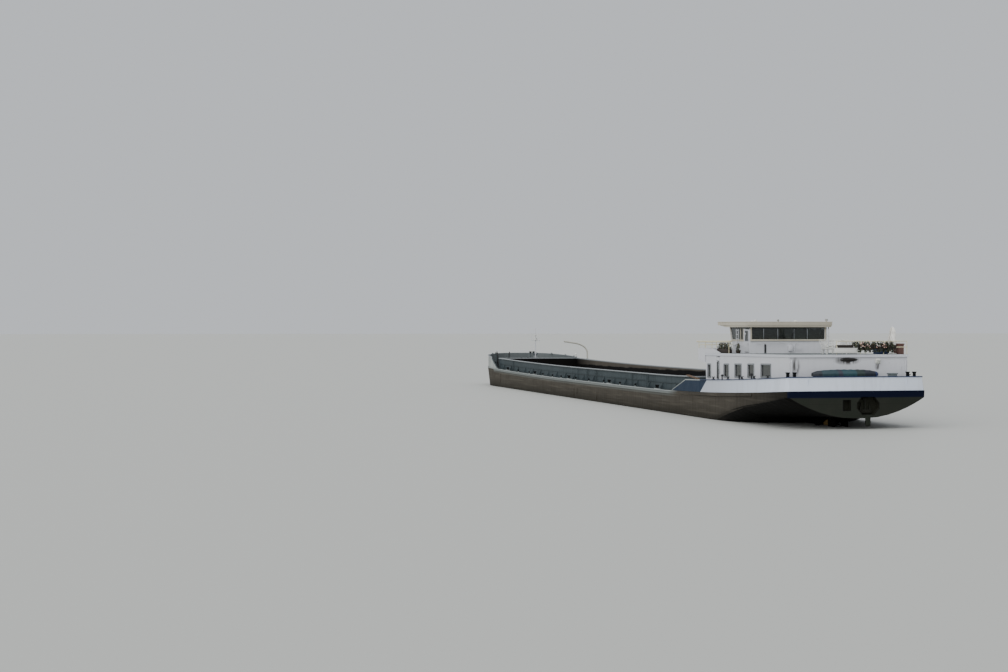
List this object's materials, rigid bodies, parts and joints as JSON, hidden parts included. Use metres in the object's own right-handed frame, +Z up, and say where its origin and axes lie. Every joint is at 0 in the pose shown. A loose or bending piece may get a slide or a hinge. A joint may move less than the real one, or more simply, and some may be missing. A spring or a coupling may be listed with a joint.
{
  "type": "1:10 scale model of a self-propelled river barge with an open hold",
  "caption": "Long flat-bottomed river cargo barge, 1:10 scale model, with an open hold, coamings, stern deckhouse, raised wheelhouse, rudders, folding mast and slewing davit.",
  "frame": {"origin": "centre of the overall box at its base, which is the underside of the flat bottom amidships", "axes": "+X forward along the length, +Y to port, +Z up"},
  "size_m": [8.5, 0.962, 0.774],
  "materials": {
    "hull_paint": "weathered dark grey hull paint with rust streaks",
    "coaming_paint": "worn blue grey paint",
    "bulwark_paint": "satin white paint",
    "navy_paint": "satin navy blue paint",
    "deck_paint": "matt grey deck paint",
    "machinery_paint": "plain grey paint",
    "house_paint": "satin off-white paint",
    "roof_paint": "cream paint",
    "window_glass": "tinted",
    "chair_cover": "black upholstery",
    "bronze": "cast bronze",
    "cast_steel": "dark cast steel",
    "black_paint": "black paint",
    "tender_cover": "teal tarpaulin",
    "parasol_cloth": "off-white cloth",
    "white_plastic": "matt white"
  },
  "bodies": {
    "hull": {"hull_aft": "hull_paint", "hull_fore": "hull_paint", "hull_double_bottom": "hull_paint", "hull_wing_port": "hull_paint", "hull_wing_starboard": "hull_paint", "coaming_port": "coaming_paint", "coaming_starboard": "coaming_paint", "coaming_aft": "coaming_paint", "coaming_fore": "coaming_paint", "stern_bulwark": "bulwark_paint", "stern_cap_rail": "navy_paint", "bow_bulwark": "coaming_paint", "deckhouse_floor": "deck_paint", "engine_block": "machinery_paint", "deckhouse_wall_port": "house_paint", "deckhouse_wall_starboard": "house_paint", "deckhouse_wall_aft": "house_paint", "deckhouse_wall_fore": "house_paint", "boat_deck": "deck_paint", "forward_balcony": "house_paint", "boat_deck_rail": "house_paint", "balcony_rail": "house_paint", "wheelhouse_wall_port": "house_paint", "wheelhouse_wall_starboard": "house_paint", "wheelhouse_wall_aft": "house_paint", "wheelhouse_wall_fore": "house_paint", "wheelhouse_window_aft": "window_glass", "wheelhouse_window_fore": "window_glass", "wheelhouse_window_port": "window_glass", "wheelhouse_window_starboard": "window_glass", "wheelhouse_roof": "roof_paint", "steering_console": "machinery_paint", "helm_chair": "chair_cover", "shaft_skeg": "hull_paint", "propeller_nozzle": "hull_paint", "stern_anchor": "cast_steel", "bow_anchor_port": "cast_steel", "bow_anchor_starboard": "cast_steel", "windlass_frame": "coaming_paint", "towing_bitts": "black_paint", "mast_tabernacle": "coaming_paint", "tender": "tender_cover", "tender_cradle": "hull_paint", "parasol": "parasol_cloth", "boat_deck_table": "white_plastic"},
    "propeller": {"propeller": "bronze"},
    "rudder_port": {"rudder_port": "hull_paint"},
    "rudder_starboard": {"rudder_starboard": "hull_paint"},
    "foremast": {"foremast": "house_paint"},
    "davit": {"davit": "coaming_paint"},
    "deckhouse_door_port": {"deckhouse_door_port": "house_paint"},
    "deckhouse_door_starboard": {"deckhouse_door_starboard": "house_paint"},
    "wheelhouse_door_port": {"wheelhouse_door_port": "house_paint"},
    "wheelhouse_door_starboard": {"wheelhouse_door_starboard": "house_paint"},
    "fore_hatch_lid": {"fore_hatch_lid": "coaming_paint"},
    "windlass_drum": {"windlass_drum": "cast_steel"}
  },
  "joints": [
    {"name": "propeller_turn", "type": "hinge", "parent": "hull", "child": "propeller", "pos_m": [-3.79, 0, 0.08], "axis": [1, 0, 0], "continuous": true},
    {"name": "rudder_port_turn", "type": "hinge", "parent": "hull", "child": "rudder_port", "pos_m": [-3.92, 0.042, 0.16], "axis": [0, 0, 1], "range_deg": [-45, 45]},
    {"name": "rudder_starboard_turn", "type": "hinge", "parent": "hull", "child": "rudder_starboard", "pos_m": [-3.92, -0.042, 0.16], "axis": [0, 0, 1], "range_deg": [-45, 45]},
    {"name": "foremast_fold", "type": "hinge", "parent": "hull", "child": "foremast", "pos_m": [3.52, 0, 0.445], "axis": [0, -1, 0], "range_deg": [0, 85]},
    {"name": "davit_slew", "type": "hinge", "parent": "hull", "child": "davit", "pos_m": [3.07, -0.437, 0.42], "axis": [0, 0, 1], "range_deg": [-170, 170]},
    {"name": "deckhouse_door_port_swing", "type": "hinge", "parent": "hull", "child": "deckhouse_door_port", "pos_m": [-2.866, 0.387, 0.415], "axis": [0, 0, -1], "range_deg": [0, 90]},
    {"name": "deckhouse_door_starboard_swing", "type": "hinge", "parent": "hull", "child": "deckhouse_door_starboard", "pos_m": [-2.866, -0.387, 0.415], "axis": [0, 0, 1], "range_deg": [0, 90]},
    {"name": "wheelhouse_door_port_swing", "type": "hinge", "parent": "hull", "child": "wheelhouse_door_port", "pos_m": [-3.09, 0.274, 0.6275], "axis": [0, 0, -1], "range_deg": [0, 90]},
    {"name": "wheelhouse_door_starboard_swing", "type": "hinge", "parent": "hull", "child": "wheelhouse_door_starboard", "pos_m": [-3.09, -0.274, 0.6275], "axis": [0, 0, 1], "range_deg": [0, 90]},
    {"name": "fore_hatch_lid_lift", "type": "hinge", "parent": "hull", "child": "fore_hatch_lid", "pos_m": [3.956, 0, 0.3528], "axis": [0, -1, 0], "range_deg": [0, 100]},
    {"name": "windlass_drum_turn", "type": "hinge", "parent": "hull", "child": "windlass_drum", "pos_m": [3.84, 0, 0.36811], "axis": [0, 1, 0], "continuous": true}
  ],
  "couplings": [
    {"joint": "rudder_starboard_turn", "follows": "rudder_port_turn", "ratio": 1}
  ]
}
